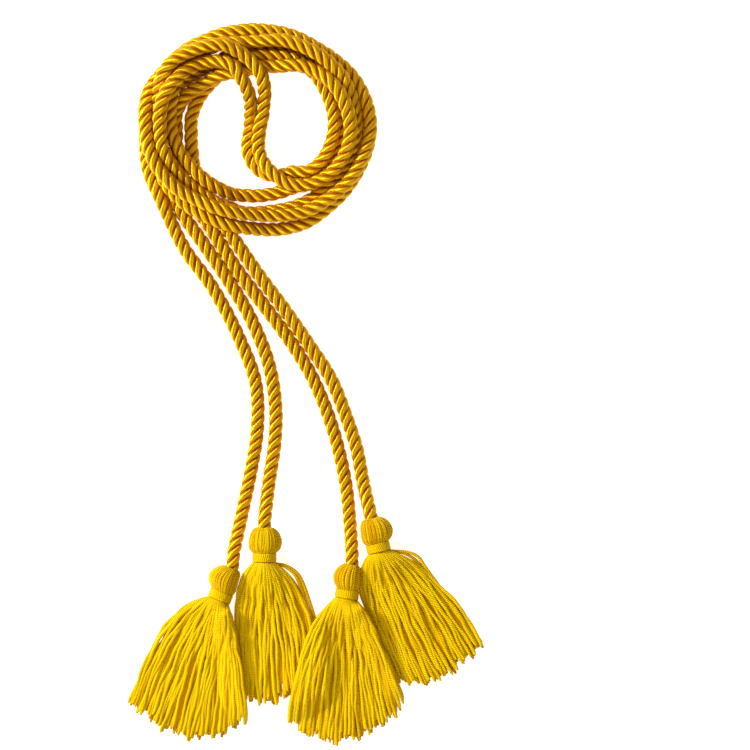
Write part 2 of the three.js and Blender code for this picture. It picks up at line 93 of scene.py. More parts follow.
turnsA = [
    (250, 68.9, 0), (260, 67.4, 0), (270, 66.3, 0), (290, 65.3, 0), (300, 64.9, 0), (310, 64.3, 1),
    (320, 63.4, 1), (330, 61.5, 1), (340, 60.6, 1), (350, 59.7, 1), (360, 59.4, 1), (380, 59.7, 1),
    (400, 60.6, 1), (410, 62.4, 1), (420, 64.7, 1), (430, 66.2, 1), (440, 67.2, 1), (450, 67.3, 2),
    (460, 65.6, 2), (470, 63.9, 2), (480, 62.1, 2), (490, 59.7, 2), (500, 57.6, 2), (510, 56.1, 2),
    (520, 53.5, 2), (530, 51.7, 2), (540, 50.5, 2), (550, 50.5, 2), (560, 51.1, 2), (570, 52.6, 2),
    (580, 54.6, 2), (590, 57.6, 2), (600, 60.3, 2), (610, 63, 2), (620, 64.7, 2), (625, 65, 2),
    (630, 65.3, 1.5), (640, 66.2, 1.5), (650, 66.5, 1.5), (660, 64.7, 1.5), (670, 61.8, 1.5),
    (680, 59.1, 1.5), (690, 57, 1.5), (700, 54.6, 1.5), (710, 52.6, 2), (720, 52.3, 2), (730, 53.8, 2),
    (740, 55.4, 2), (760, 57.6, 2), (770, 58.5, 2), (780, 59.4, 2), (800, 59.6, 2), (810, 59.4, 1),
    (820, 58.8, 1), (830, 57.6, 1), (840, 55.2, 1), (850, 53.2, 1), (860, 52.3, 0), (870, 51.1, 0),
    (880, 49.9, 0), (910, 49.9, 0), (920, 48.9, 0), (930, 49.5, 0), (940, 50.4, 0), (950, 51.4, 0),
    (960, 53, 0), (970, 55.2, 2), (980, 57, 2), (990, 57.3, 2), (1000, 58.2, 2), (1010, 58.5, 3),
    (1020, 57, 3), (1030, 54.6, 3), (1040, 51.1, 3), (1050, 46.3, 3), (1055, 43.4, 3), (1060, 39.2, 3),
]
middleA = [
    (-37.7, 178.8, 3), (-35, 173.4, 1), (-33.1, 166.9, 0), (-33.1, 159.8, 0), (-33.6, 152.4, 0),
    (-34.7, 144.9, 0), (-35.3, 139.6, 0), (-34.2, 134.5, 0), (-32.1, 130.1, 0), (-28.2, 125.9, 0),
    (-22.9, 123.3, 0), (-15.7, 122.7, 0), (-8.6, 124.7, 0),
]
returnA = [
    (130, 38.6, 1), (120, 41.6, 1), (110, 43.4, 1), (100, 44.6, 1), (90, 45.7, 1), (80, 46.3, 1),
    (70, 46.6, 1), (60, 46.9, 1), (50, 47.5, 1), (40, 47.8, 1), (30, 47.5, 1), (20, 46.3, 1),
    (10, 44.6, 1), (0, 44, 1), (-10, 42.8, 1), (-20, 41.6, 0), (-30, 40.4, 0), (-40, 39.5, 0),
    (-60, 39.5, 0), (-80, 39.8, 0), (-90, 39.2, 0), (-100, 39.8, 0), (-110, 41, 0), (-120, 43.4, -1),
]
tail1 = [
    (-43.3, -101.9, 0), (-37.1, -71.9, 0), (-32.4, -48.7, 0), (-29.4, -28.3, 0), (-30.3, -1, 0),
    (-40.1, 26.1, 0), (-56.1, 56.4, 0), (-72.8, 79.6, 0), (-86.4, 108.1, 0),
]
tail4 = [
    (-60.3, 114, -1), (-53.8, 100.4, -1), (-45.1, 87.9, -1), (-28.9, 64.4, 0), (-12.8, 42.8, 0),
    (2.4, 20.8, 0), (14.6, 1.8, 0), (22.9, -18.7, 0), (29.7, -39.2, 0), (33.6, -59.4, 0),
]
turnsB = [
    (250, 59.4, 0), (260, 57.6, 0), (270, 56.7, 0), (280, 57.3, 0), (290, 56.1, 0), (300, 53.5, 0),
    (310, 50.5, 0), (320, 48.1, 0), (330, 47.2, 0), (340, 47.2, 0), (350, 47.5, 0), (360, 47.8, 0),
    (370, 48.7, 0), (380, 49.9, 0), (390, 51.1, 0), (400, 52, 0), (410, 52.3, 0), (430, 52, 0),
    (450, 51.1, 0), (460, 50.5, 0), (470, 49.3, 0), (480, 47.8, 0), (490, 45.4, 0), (500, 42.2, 0),
    (510, 39.8, 0), (520, 39.2, 0), (540, 38.9, 0), (550, 39.2, 0), (560, 40.7, 1), (570, 41.2, 1),
    (580, 42.1, 1), (590, 43.2, 1), (600, 44.7, 1), (610, 46.9, 1), (620, 49, 1), (630, 51.1, 1),
    (640, 52.6, 1), (650, 54.1, 1), (660, 55.8, 1), (670, 56.4, 0), (680, 56.1, 0), (690, 56.1, 0),
    (700, 56.7, 0), (710, 57.6, 0), (720, 58.5, 0), (740, 59.1, 0), (760, 60.3, 0), (770, 61.5, 0),
    (780, 63.6, 0), (790, 65.6, 0), (800, 66.8, 0), (810, 67.1, 0), (820, 66.2, 0), (830, 64.7, 0),
    (840, 63.6, 0), (850, 62.7, 0), (870, 62.1, 0), (880, 61.2, 0), (890, 60, 0), (900, 58.8, 0),
    (910, 58.5, 0), (920, 58.8, 0), (930, 59.4, 0), (940, 60.6, 0), (950, 61.5, 0), (960, 62.4, 1),
    (970, 61.8, 1), (980, 60.9, 1), (990, 60.6, 1), (1000, 60.6, 1.5), (1010, 62.4, 1.5),
    (1020, 64.7, 1.5), (1025, 64.6, 1.5), (1030, 63.9, 3), (1040, 60.3, 3), (1050, 57, 3),
    (1060, 52.6, 3), (1065, 48.7, 3), (1070, 44.6, 3),
]
middleB = [
    (-30, 187.1, 3), (-26.6, 182, 3), (-25.1, 176.4, 1), (-24.5, 170.7, 1), (-25.1, 165.1, 1),
    (-25.8, 158, 1), (-27.4, 151.6, 1), (-28.3, 144.9, 1), (-28.5, 139.1, 1), (-27.4, 134.2, 1),
    (-24.8, 129.3, 1), (-21.3, 125.1, 1), (-17.2, 121.7, 1), (-12.8, 118.6, 2), (-6.9, 117.1, 2),
]
returnB = [
    (140, 43.1, 2), (130, 47.5, 2), (120, 51.1, 2), (110, 53.5, 2), (100, 55.2, 3), (90, 55.8, 3),
    (80, 55.2, 3), (70, 54.1, 3), (60, 52.6, 3), (50, 50.2, 3), (40, 47.5, 2), (30, 44, 2),
    (20, 39.8, 2), (10, 38, 2), (0, 36.8, 2), (-10, 35.6, 2), (-20, 36.2, 2), (-30, 38, 2),
    (-40, 39.8, 2), (-50, 41.9, 2), (-60, 45.4, 2), (-70, 48.1, 0), (-80, 49.3, 0), (-90, 48.1, 0),
    (-98, 48.7, 0), (-106, 49.9, -1),
]
tail2 = [
    (-22.3, -59.4, 0), (-19, -36.8, 0), (-18.4, -14.6, 0), (-22.3, 10.1, 0), (-33, 37.4, 0),
    (-46.6, 60.6, 0), (-60.3, 80.8, -1), (-76.9, 105.1, -1), (-84.3, 121.8, -1),
]
tail3 = [
    (-76, 128.9, -1), (-71.6, 115.8, -1), (-64.4, 102.2, -1), (-56.1, 90.3, -1), (-42.5, 68.5, 0),
    (-26.4, 46.9, 0), (-11.2, 26.3, 0), (2.4, 4.5, 0), (11.9, -17.2, 0), (18.7, -39.2, 0),
    (23.5, -62.4, 0), (25.6, -82.6, 0),
]

# Tassels: where the rope enters the head, and the head's heading in degrees from -Y towards +X. wide is
# the head's width over its height, bow its bulge to the side as a share of its diameter. The skirt's left
# edge, middle and right edge have points aside of the axis and along it, as shares of its length. liesOn
# names the tassels below it. strays are single yarns that have slipped out, in rows of x and y in mm.
tassel = {
    "headDiameter": 18.4 * mm,
    "headLength": 14.5 * mm,
    "socketDepth": 5 * mm,
    "socketClearance": 0.5 * mm,
    "neckDiameter": 12 * mm,
    "bindingLength": 6 * mm,
    "skirtLength": 84 * mm,
    "hemHeight": 6.6 * mm,
    "pressedFlat": 1 * mm,
    "sinkEnd": 0.3,  # share of the skirt's length over which it comes down to the table
    "coreDepth": 0.7 * mm,  # of the head's core under its yarns
    "neckDepth": 0.3 * mm,  # of the neck's core under the binding
    "coreSides": 40,
}
tassels = [
    {
        "name": "tassel_1", "number": 1, "rope": 0, "end": 0, "top": (-44.6, -110.7), "heading": -22,
        "wide": 1.0, "bow": -0.11, "liesOn": ["tassel_2"],
        "left": [(-0.32, 0.14), (-0.34, 0.5), (-0.32, 0.94)],
        "middle": [(0.07, 0.21), (0.11, 0.57), (0.18, 1.0)],
        "right": [(0.12, 0.07), (0.28, 0.25), (0.51, 0.73)],
    },
    {
        "name": "tassel_2", "number": 2, "rope": 1, "end": 0, "top": (-25, -86.8), "heading": 0,
        "wide": 1.08, "bow": 0.03, "liesOn": [],
        "left": [(-0.24, 0.1), (-0.21, 0.5), (-0.19, 0.94)],
        "middle": [(0.01, 0.22), (0.01, 0.54), (0.04, 1.01)],
        "right": [(0.27, 0.12), (0.43, 0.48), (0.43, 0.87)],
        "strays": [
            [(-19.6, -107.4), (-12.2, -108.8), (-5.4, -113.6), (-1.8, -120.5), (1.2, -129),
             (4.6, -140), (7.5, -152), (9, -165), (10, -177)],
            [(-19.8, -107.6), (-13.2, -109.6), (-7, -114.4), (-3.6, -121.5), (-0.6, -131),
             (2.8, -142), (5.4, -154), (7, -167), (8.2, -179)],
        ],
    },
    {
        "name": "tassel_3", "number": 3, "rope": 1, "end": 1, "top": (26.7, -108.6), "heading": -9,
        "wide": 0.9, "bow": -0.08, "liesOn": ["tassel_2", "tassel_4"],
        "left": [(-0.22, 0.14), (-0.3, 0.49), (-0.27, 0.94)],
        "middle": [(0.03, 0.23), (0.09, 0.59), (0.14, 1.02)],
        "right": [(0.18, 0.07), (0.34, 0.31), (0.55, 0.71)],
    },
    {
        "name": "tassel_4", "number": 4, "rope": 0, "end": 1, "top": (38.7, -81.3), "heading": 13,
        "wide": 1.06, "bow": 0.07, "liesOn": [],
        "left": [(-0.27, 0.1), (-0.17, 0.5), (-0.11, 0.92)],
        "middle": [(0.06, 0.24), (0.1, 0.59), (0.2, 0.99)],
        "right": [(0.32, 0.16), (0.47, 0.46), (0.58, 0.82)],
        "strays": [
            [(49, -99.9), (59.5, -100.8), (66.1, -103.6), (70.4, -109.8), (77, -119), (86.5, -131),
             (96, -144), (104, -155)],
            [(49, -100.2), (58, -101.8), (63.6, -104.8), (69, -111), (75, -120), (84, -132),
             (93.5, -145), (101.5, -157)],
        ],
    },
]


def topOf(piece):
    return np.array(piece["top"]) * mm


def headingOf(piece):
    angle = math.radians(piece["heading"])
    return np.array([math.sin(angle), -math.cos(angle)])


def sideOf(piece):
    way = headingOf(piece)
    return np.array([-way[1], way[0]])


def turnRows(rows):
    found = []
    for clock, radius, layer in rows:
        angle = math.radians(clock)
        x = rope["coilCentre"][0] + radius * mm * math.sin(angle)
        y = rope["coilCentre"][1] + radius * mm * math.cos(angle)
        found.append((x, y, layer))
    return found


def stretchRows(rows):
    return [(x * mm, y * mm, layer) for x, y, layer in rows]


def ropeEndRows(ropeIndex, end):
    piece = next(t for t in tassels if t["rope"] == ropeIndex and t["end"] == end)
    reach = tassel["socketDepth"] - tassel["socketClearance"]
    outside = topOf(piece) - headingOf(piece) * rope["leadIn"]
    inside = topOf(piece) + headingOf(piece) * reach
    rows = [(*inside, 0), (*outside, 0)]
    return rows if end == 0 else rows[::-1]


def smoothCurve(points, perSpan):
    # centripetal curve through the points, with perSpan points on each stretch between two of them
    points = np.array(points, float)
    first = 2 * points[0] - points[1]
    last = 2 * points[-1] - points[-2]
    held = np.vstack([first, points, last])
    found = []
    for i in range(len(points) - 1):
        p0, p1, p2, p3 = held[i:i + 4]
        t1 = np.linalg.norm(p1 - p0) ** 0.5
        t2 = t1 + np.linalg.norm(p2 - p1) ** 0.5
        t3 = t2 + np.linalg.norm(p3 - p2) ** 0.5
        t = np.linspace(t1, t2, perSpan, endpoint=False)[:, None]
        a1 = (t1 - t) / t1 * p0 + t / t1 * p1
        a2 = (t2 - t) / (t2 - t1) * p1 + (t - t1) / (t2 - t1) * p2
        a3 = (t3 - t) / (t3 - t2) * p2 + (t - t2) / (t3 - t2) * p3
        b1 = (t2 - t) / t2 * a1 + t / t2 * a2
        b2 = (t3 - t) / (t3 - t1) * a2 + (t - t1) / (t3 - t1) * a3
        found.append((t2 - t) / (t2 - t1) * b1 + (t - t1) / (t2 - t1) * b2)
    found.append(points[-1:])
    return np.vstack(found)


def alongOf(points):
    steps = np.linalg.norm(np.diff(points, axis=0), axis=1)
    return np.concatenate([[0], np.cumsum(steps)])


def evenly(points, step):
    along = alongOf(points)
    count = round(along[-1] / step)
    wanted = np.linspace(0, along[-1], count + 1)
    return np.stack([np.interp(wanted, along, points[:, k]) for k in range(points.shape[1])], axis=1)


def smoothAlong(values, ropeOf, rounds):
    for ropeIndex in (0, 1):
        part = values[ropeOf == ropeIndex]
        for _ in range(rounds):
            part[1:-1] = (part[:-2] + 2 * part[1:-1] + part[2:]) / 4
        values[ropeOf == ropeIndex] = part


def layRopes():
    # both ropes laid on the table and on each other, as points one station apart
    rowSets = [
        ropeEndRows(0, 0) + stretchRows(tail1) + turnRows(turnsA) + stretchRows(middleA)
        + turnRows(returnA) + stretchRows(tail4) + ropeEndRows(0, 1),
        ropeEndRows(1, 0) + stretchRows(tail2) + turnRows(turnsB) + stretchRows(middleB)
        + turnRows(returnB) + stretchRows(tail3) + ropeEndRows(1, 1),
    ]
    places, layers, alongs, ropeOf = [], [], [], []
    for ropeIndex, rows in enumerate(rowSets):
        curve = smoothCurve([row[:2] for row in rows], rope["spanPoints"])
        even = evenly(curve, rope["station"])
        along = alongOf(curve)
        steps = np.linspace(0, along[-1], len(even))
        share = np.arange(len(curve)) / rope["spanPoints"]
        nearest = np.rint(np.interp(steps, along, share)).astype(int)
        places.append(even)
        layers.append([rows[i][2] for i in nearest])
        alongs.append(np.arange(len(even)) * rope["station"])
        ropeOf.append(np.full(len(even), ropeIndex))
    plan = np.vstack(places)
    layer = np.concatenate(layers)
    along = np.concatenate(alongs)
    ropeOf = np.concatenate(ropeOf)
    same = ropeOf[:, None] == ropeOf[None, :]
    spacing = np.abs(along[:, None] - along[None, :])
    mayTouch = ~same | (spacing > rope["ownReach"] * rope["diameter"])
    apart = np.linalg.norm(plan[:, None] - plan[None, :], axis=2)
    above = (layer[:, None] > layer[None, :]) & (apart < rope["nesting"]) & mayTouch
    never = 9.0  # in metres, far more than any height here
    lift = np.where(above, np.sqrt(np.maximum(rope["nesting"] ** 2 - apart ** 2, 0)), -never)
    fall = np.where(same, spacing ** 2 / (2 * rope["bend"]), never)
    carried = np.full(len(plan), rope["diameter"] / 2)
    for ropeIndex in (0, 1):
        mine = ropeOf == ropeIndex
        fromEnd = np.minimum(along, along[mine].max() - along)
        carried[mine & (fromEnd < rope["straightFromHead"])] = tassel["headDiameter"] / 2
    height = carried.copy()
    for _ in range(rope["restRounds"]):
        carried = np.maximum(carried, (height[None, :] + lift).max(axis=1))
        height = np.maximum(height, (carried[None, :] - fall).max(axis=1))
    smoothAlong(height, ropeOf, rope["heightRounds"])
    # pushes apart what still presses together, spread along the rope
    home = np.column_stack([plan, height])
    moved = np.zeros_like(home)
    place = home.copy()
    near = np.argwhere(np.triu((apart < rope["pushReach"] * rope["nesting"]) & mayTouch, 1))
    first, second = near[:, 0], near[:, 1]
    for _ in range(rope["pushRounds"]):
        gap = place[first] - place[second]
        distance = np.linalg.norm(gap, axis=1)
        overlap = np.maximum(rope["nesting"] - distance, 0)
        push = (rope["pushShare"] * overlap / distance)[:, None] * gap
        np.add.at(moved, first, push)
        np.add.at(moved, second, -push)
        for axis in range(3):
            column = moved[:, axis].copy()
            smoothAlong(column, ropeOf, 1)
            moved[:, axis] = column
        place = home + moved
        place[:, 2] = np.maximum(place[:, 2], rope["diameter"] / 2)
    return [place[ropeOf == 0], place[ropeOf == 1]]


ropeLines = layRopes()


# Helpers for the node trees
def feed(tree, node, values):
    # links each socket among the values to the node's input of that name, and sets the other inputs
    for name, value in values.items():
        if isinstance(value, bpy.types.NodeSocket):
            tree.links.new(value, node.inputs[name])
        else:
            node.inputs[name].default_value = value


def addNode(tree, kind, values=None, **settings):
    node = tree.nodes.new(kind)
    for name, value in settings.items():
        setattr(node, name, value)
    feed(tree, node, values or {})
    return node


def mathNode(tree, operation, *values):
    return addNode(tree, "ShaderNodeMath", dict(enumerate(values)), operation=operation).outputs[0]


def vectorNode(tree, operation, *values):
    node = addNode(tree, "ShaderNodeVectorMath", dict(enumerate(values)), operation=operation)
    return node.outputs["Value"] if operation == "DOT_PRODUCT" else node.outputs[0]


def scaledVector(tree, vector, factor):
    values = {"Vector": vector, "Scale": factor}
    return addNode(tree, "ShaderNodeVectorMath", values, operation="SCALE").outputs[0]


def newTree(name, inputs):
    tree = bpy.data.node_groups.new(name, "GeometryNodeTree")
    tree.interface.new_socket("Geometry", in_out="INPUT", socket_type="NodeSocketGeometry")
    for label, kind, value in inputs:
        socket = tree.interface.new_socket(label, in_out="INPUT", socket_type=kind)
        if value is not None:
            socket.default_value = value
    tree.interface.new_socket("Geometry", in_out="OUTPUT", socket_type="NodeSocketGeometry")
    return tree, tree.nodes.new("NodeGroupInput"), tree.nodes.new("NodeGroupOutput")


def storeNode(tree, geometry, name, kind, value):
    values = {"Geometry": geometry, "Name": name, "Value": value}
    node = addNode(tree, "GeometryNodeStoreNamedAttribute", values, data_type=kind, domain="POINT")
    return node.outputs[0]


def captureNode(tree, geometry, items):
    node = addNode(tree, "GeometryNodeCaptureAttribute", domain="POINT")
    for label, kind, _ in items:
        node.capture_items.new(kind, label)
    feed(tree, node, {"Geometry": geometry, **{label: value for label, _, value in items}})
    return node.outputs


def finishTree(tree, start, end, geometry):
    smooth = addNode(tree, "GeometryNodeSetShadeSmooth", {"Geometry": geometry})
    coat = addNode(tree, "GeometryNodeSetMaterial", {
        "Geometry": smooth.outputs[0], "Material": start.outputs["Material"],
    })
    feed(tree, end, {"Geometry": coat.outputs[0]})


def circleNode(tree, points):
    values = {"Radius": 1.0, "Resolution": points}
    return addNode(tree, "GeometryNodeCurvePrimitiveCircle", values).outputs["Curve"]


def strandTree():
    # sweeps a round strand along each polyline, as thick as the line says
    tree, start, end = newTree("sweepStrands", [
        ("Sides", "NodeSocketInt", yarn["sides"]),
        ("Material", "NodeSocketMaterial", None),
    ])
    line = addNode(tree, "GeometryNodeMeshToCurve", {"Mesh": start.outputs["Geometry"]})
    parameter = addNode(tree, "GeometryNodeSplineParameter")
    known = captureNode(tree, line.outputs["Curve"], [("Along", "FLOAT", parameter.outputs["Length"])])
    # the section: a circle whose points know their direction
    position = addNode(tree, "GeometryNodeInputPosition")
    section = captureNode(tree, circleNode(tree, start.outputs["Sides"]), [
        ("Direction", "VECTOR", position.outputs[0]),
    ])
    thick = addNode(tree, "GeometryNodeInputNamedAttribute", {"Name": "thick"}, data_type="FLOAT")
    sweep = addNode(tree, "GeometryNodeCurveToMesh", {
        "Curve": known["Geometry"],
        "Profile Curve": section["Geometry"],
        "Scale": thick.outputs["Attribute"],
        "Fill Caps": True,
    })
    direction = addNode(tree, "ShaderNodeSeparateXYZ", {"Vector": section["Direction"]})
    place = addNode(tree, "ShaderNodeCombineXYZ", {
        "X": direction.outputs["X"], "Y": direction.outputs["Y"], "Z": known["Along"],
    })
    stored = storeNode(tree, sweep.outputs[0], "strandPlace", "FLOAT_VECTOR", place.outputs[0])
    finishTree(tree, start, end, stored)
    return tree


# Lay of the ropes' plies
ply = {
    "count": 3,
    "pitch": 18 * mm,
    "groove": 0.34,  # depth between two plies as a share of the rope's radius
    "flatness": 3.2,  # how squarely a ply is pressed, 2 for round
    "radius": 4.2 * mm,  # over the plies, which press into each other where two turns touch
    "points": 48,  # round the rope
    "step": 1.1 * mm,  # along it
    "spanPoints": 8,  # of the curve between two laid points
}
plySockets = [
    ("Plies", "NodeSocketInt", ply["count"]),
    ("Pitch", "NodeSocketFloat", ply["pitch"]),
    ("Radius", "NodeSocketFloat", ply["radius"]),
    ("Groove Depth", "NodeSocketFloat", ply["groove"]),
    ("Flatness", "NodeSocketFloat", ply["flatness"]),
    ("Points", "NodeSocketInt", ply["points"]),
]


def ropeTree():
    # one fluted body along a centreline: rounded plies, flat on top, twisted once round in a pitch
    tree, start, end = newTree("twistedRope", plySockets + [("Material", "NodeSocketMaterial", None)])
    given = start.outputs
    line = addNode(tree, "GeometryNodeMeshToCurve", {"Mesh": given["Geometry"]})
    parameter = addNode(tree, "GeometryNodeSplineParameter")
    tangent = addNode(tree, "GeometryNodeInputTangent")
    centre = addNode(tree, "GeometryNodeInputPosition")
    known = captureNode(tree, line.outputs["Curve"], [
        ("Along", "FLOAT", parameter.outputs["Length"]),
        ("Axis", "VECTOR", tangent.outputs[0]),
        ("Centre", "VECTOR", centre.outputs[0]),
    ])
    turns = mathNode(tree, "DIVIDE", known["Along"], given["Pitch"])
    tilt = addNode(tree, "GeometryNodeSetCurveTilt", {
        "Curve": known["Geometry"], "Tilt": mathNode(tree, "MULTIPLY", turns, 2 * math.pi),
    })
    # the section: a circle pressed in between the plies
    position = addNode(tree, "GeometryNodeInputPosition").outputs[0]
    parts = addNode(tree, "ShaderNodeSeparateXYZ", {"Vector": position}).outputs
    angle = mathNode(tree, "ARCTAN2", parts["Y"], parts["X"])
    inPly = mathNode(tree, "MULTIPLY", mathNode(tree, "DIVIDE", angle, 2 * math.pi), given["Plies"])
    across = mathNode(tree, "SUBTRACT", inPly, mathNode(tree, "ROUND", inPly))
    across = mathNode(tree, "MULTIPLY", across, 2.0)
    pressed = mathNode(tree, "POWER", mathNode(tree, "ABSOLUTE", across), given["Flatness"])
    pressed = mathNode(tree, "MULTIPLY", pressed, given["Groove Depth"])
    reach = mathNode(tree, "SUBTRACT", 1.0, pressed)
    section = captureNode(tree, circleNode(tree, given["Points"]), [
        ("Across", "FLOAT", across), ("Reach", "FLOAT", reach),
    ])
    place = addNode(tree, "GeometryNodeSetPosition", {
        "Geometry": section["Geometry"], "Position": scaledVector(tree, position, reach),
    })
    sweep = addNode(tree, "GeometryNodeCurveToMesh", {
        "Curve": tilt.outputs[0],
        "Profile Curve": place.outputs[0],
        "Scale": given["Radius"],
        "Fill Caps": True,
    })
    # how far out each point reaches, from which the satin paints shade into the grooves
    stored = storeNode(tree, sweep.outputs[0], "crown", "FLOAT", section["Reach"])
    plyPlace = addNode(tree, "ShaderNodeCombineXYZ", {"X": section["Across"], "Z": known["Along"]})
    stored = storeNode(tree, stored, "plyPlace", "FLOAT_VECTOR", plyPlace.outputs[0])
    # the way that a ply runs at each point
    out = vectorNode(tree, "SUBTRACT", position, known["Centre"])
    turning = vectorNode(tree, "CROSS_PRODUCT", known["Axis"], out)
    rate = mathNode(tree, "DIVIDE", 2 * math.pi, given["Pitch"])
    way = vectorNode(tree, "ADD", known["Axis"], scaledVector(tree, turning, rate))
    stored = storeNode(tree, stored, "plyWay", "FLOAT_VECTOR", vectorNode(tree, "NORMALIZE", way))
    finishTree(tree, start, end, stored)
    return tree


def guideMesh(name, lines, values=None):
    # polylines as one mesh of edges, with a value for each point under each name in values
    points = np.vstack(lines)
    edges = []
    first = 0
    for line in lines:
        edges += [(first + i, first + i + 1) for i in range(len(line) - 1)]
        first += len(line)
    mesh = bpy.data.meshes.new(name)
    mesh.from_pydata(points.tolist(), edges, [])
    for label, numbers in (values or {}).items():
        attribute = mesh.attributes.new(label, "FLOAT", "POINT")
        attribute.data.foreach_set("value", np.concatenate(numbers).astype(np.float32))
    return placed(name, mesh)


def grown(guide, tree, settings):
    # the node tree's result on the guide as a plain mesh
    modifier = guide.modifiers.new("grow", "NODES")
    modifier.node_group = tree
    sockets = {s.name: s.identifier for s in tree.interface.items_tree if s.in_out == "INPUT"}
    for name, value in settings.items():
        modifier[sockets[name]] = value
    bpy.context.view_layer.update()
    evaluated = guide.evaluated_get(bpy.context.evaluated_depsgraph_get())
    mesh = bpy.data.meshes.new_from_object(evaluated)
    guide.modifiers.remove(modifier)
    guide.data = mesh
    mesh.name = guide.name
    return guide


# Helpers for the materials
white = (1.0, 1.0, 1.0)


def newMaterial(name):
    material = bpy.data.materials.new(name)
    material.use_nodes = True
    return material, material.node_tree, material.node_tree.nodes["Principled BSDF"]


def attributeNode(tree, name):
    return addNode(tree, "ShaderNodeAttribute", attribute_name=name).outputs


def rampNode(tree, value, stops):
    ramp = addNode(tree, "ShaderNodeValToRGB", {"Fac": value})
    elements = ramp.color_ramp.elements
    while len(elements) < len(stops):
        elements.new(0.5)
    for element, (place, colour) in zip(elements, stops):
        element.position = place
        element.color = (*colour, 1)
    return ramp.outputs["Color"]


def noiseNode(tree, vector, stretch, detail):
    mapping = addNode(tree, "ShaderNodeMapping", {"Vector": vector, "Scale": stretch})
    values = {"Vector": mapping.outputs[0], "Scale": 1.0, "Detail": detail}
    return addNode(tree, "ShaderNodeTexNoise", values).outputs["Fac"]


def tintNode(tree, colour, tint, share):
    # the colour multiplied by the tint, as strongly as share says
    values = {"Factor": share, "A": colour, "B": tint}
    mix = addNode(tree, "ShaderNodeMix", values, data_type="RGBA", blend_type="MULTIPLY")
    return mix.outputs["Result"]


def bumpNode(tree, height, strength, distance):
    values = {"Height": height, "Strength": strength, "Distance": distance}
    return addNode(tree, "ShaderNodeBump", values).outputs["Normal"]


# Satin of the ropes: gold on the plies' crowns, with painted shade going red-brown down their flanks and
# deep red-brown in the grooves between them, fine filaments
satin = {
    # painted shade: red-brown down the flanks of the plies and deepest in the grooves between them
    "grooveShade": (0.19, 0.032, 0.0005),
    "flank": (0.60, 0.20, 0.002),
    "crown": (0.84, 0.49, 0.007),
    "heights": (0.64, 0.76, 1.0),  # of these three, as shares of the rope's radius
    "roughness": 0.43,
    "metallic": 0.8,
    "specular": 0.2,
    "anisotropic": 1.0,
    "streaks": (26, 2.2, 1),  # how closely they follow each other along the lay and across
    "streakDetail": 3.0,
    "streakSlant": 0.5,
    "streakEdges": (0.3, 0.7),  # of the noise, from the full tint to none
    "streakTint": (0.72, 0.62, 0.5),
    "streakShare": 0.35,  # of the tint
    "filament": 0.03 * mm,
    "relief": 0.6,
}


def satinMaterial():
    material, tree, shader = newMaterial("ropeSatin")
    # painted shade: the colour darkens from gold on the crowns to deep red-brown in the grooves, by how
    # far out each point of the rope reaches
    tones = (satin["grooveShade"], satin["flank"], satin["crown"])
    crown = attributeNode(tree, "crown")["Fac"]
    colour = rampNode(tree, crown, list(zip(satin["heights"], tones)))
    # the filaments are wound round each ply, so their streaks cross it
    place = attributeNode(tree, "plyPlace")["Vector"]
    parts = addNode(tree, "ShaderNodeSeparateXYZ", {"Vector": place}).outputs
    lay = mathNode(tree, "DIVIDE", parts["Z"], ply["pitch"] / ply["count"])
    lay = mathNode(tree, "ADD", lay, mathNode(tree, "MULTIPLY", parts["X"], satin["streakSlant"]))
    grain = addNode(tree, "ShaderNodeCombineXYZ", {"X": lay, "Y": parts["X"]})
    streaks = noiseNode(tree, grain.outputs[0], satin["streaks"], satin["streakDetail"])
    tint = rampNode(tree, streaks, list(zip(satin["streakEdges"], (satin["streakTint"], white))))
    feed(tree, shader, {
        "Base Color": tintNode(tree, colour, tint, satin["streakShare"]),
        "Normal": bumpNode(tree, streaks, satin["relief"], satin["filament"]),
        "Tangent": attributeNode(tree, "plyWay")["Vector"],
        "Anisotropic": satin["anisotropic"],
        "Roughness": satin["roughness"],
        "Metallic": satin["metallic"],
        "Specular IOR Level": satin["specular"],
    })
    return material


# Yarn of the tassels: matt yellow, ribbed across by its tight twist
yarn = {
    "colour": (0.89, 0.66, 0.002),
    "deepShade": (0.64, 0.34, 0.001),  # painted shade, for yarns that lie low under the others and for bodies that carry no shade value
    "hollow": (0.84, 0.65, 0.4),  # painted shade in the hollow between two ribs
    "hollowEnd": 0.6,  # share of a rib's height at which it has gone
    "roughness": 0.7,
    "specular": 0.25,
    "specularTint": (1.0, 0.8, 0.1),
    "sheen": 0.15,
    "sheenRoughness": 0.5,
    "sheenTint": (1.0, 0.75, 0.02),
    "ribPitch": 1.1 * mm,
    "ribDepth": 0.35 * mm,
    "relief": 0.7,
    "diameter": 2.25 * mm,
    "neckShare": 0.55,  # of the diameter, where the binding squeezes it
    "frayed": 0.4,  # of the diameter, gone at its cut end
    "weave": 0.3,  # up and down, as a share of the skirt's half height
    "acrossTop": 33,  # yarns side by side in one row of the widest skirt
    "rows": 5,
    "points": 56,
    "sides": 8,
    "seed": 40,
}


